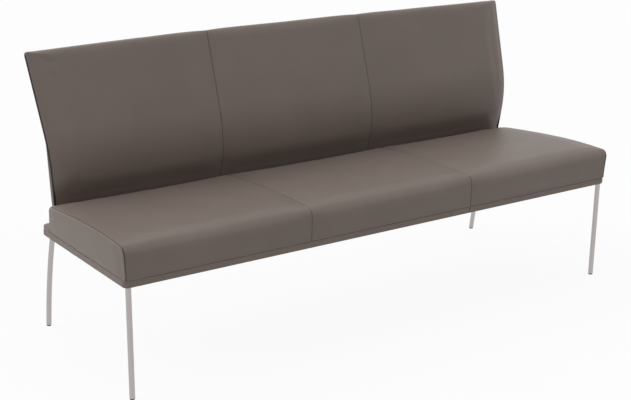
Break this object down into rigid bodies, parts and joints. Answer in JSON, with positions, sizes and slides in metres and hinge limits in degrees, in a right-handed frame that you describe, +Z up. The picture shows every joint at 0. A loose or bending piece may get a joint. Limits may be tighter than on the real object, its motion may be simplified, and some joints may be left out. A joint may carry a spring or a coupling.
{
  "type": "dining banquette",
  "caption": "Long padded leather dining bench with a slim leaning back in three seamed panels, on four slender round steel legs.",
  "frame": {"origin": "on the floor, under the middle of the bench's length and depth", "axes": "+Z up, +X along the bench to the right of someone facing it, +Y from the front to the back"},
  "size_m": [1.8, 0.6495, 0.8881],
  "materials": {
    "leg_steel": "brushed",
    "frame_steel": "matte",
    "zinc": "satin",
    "spring_steel": "satin",
    "glide_plastic": "matte",
    "leather": "satin",
    "welt_leather": "satin",
    "foam": "matte",
    "felt": "matte",
    "webbing": "matte",
    "dust_cloth": "matte",
    "plywood": "matte"
  },
  "bodies": {
    "root": {"front_left_leg": "leg_steel", "front_left_leg_plate": "frame_steel", "front_left_glide": "glide_plastic", "front_right_leg": "leg_steel", "front_right_leg_plate": "frame_steel", "front_right_glide": "glide_plastic", "rear_left_leg": "leg_steel", "rear_left_leg_plate": "frame_steel", "rear_left_glide": "glide_plastic", "rear_right_leg": "leg_steel", "rear_right_leg_plate": "frame_steel", "rear_right_glide": "glide_plastic", "leg_bolts": "zinc", "leg_weld_nuts": "zinc", "front_rail": "frame_steel", "rear_rail": "frame_steel", "left_end_rail": "frame_steel", "right_end_rail": "frame_steel", "left_cross_rail": "frame_steel", "right_cross_rail": "frame_steel", "front_tacking_strip": "plywood", "rear_tacking_strip": "plywood", "left_tacking_strip": "plywood", "right_tacking_strip": "plywood", "seat_springs": "spring_steel", "spring_clips": "zinc", "seat_felt": "felt", "seat_foam": "foam", "seat_cover_left": "leather", "seat_cover_middle": "leather", "seat_cover_right": "leather", "seat_end_panel_left": "leather", "seat_end_panel_right": "leather", "base_band_front": "leather", "base_band_left": "leather", "base_band_right": "leather", "base_band_rear": "leather", "dust_cover": "dust_cloth", "dust_cover_staples": "zinc", "back_upright_outer_left": "frame_steel", "back_upright_inner_left": "frame_steel", "back_upright_inner_right": "frame_steel", "back_upright_outer_right": "frame_steel", "back_top_rail": "frame_steel", "back_webbing": "webbing", "back_bolts": "zinc", "back_weld_nuts": "zinc", "back_front_foam": "foam", "back_rear_foam": "foam", "back_cover_left": "leather", "back_rear_cover_left": "leather", "back_cover_middle": "leather", "back_rear_cover_middle": "leather", "back_cover_right": "leather", "back_rear_cover_right": "leather", "back_edge_welt": "welt_leather"}
  },
  "joints": []
}
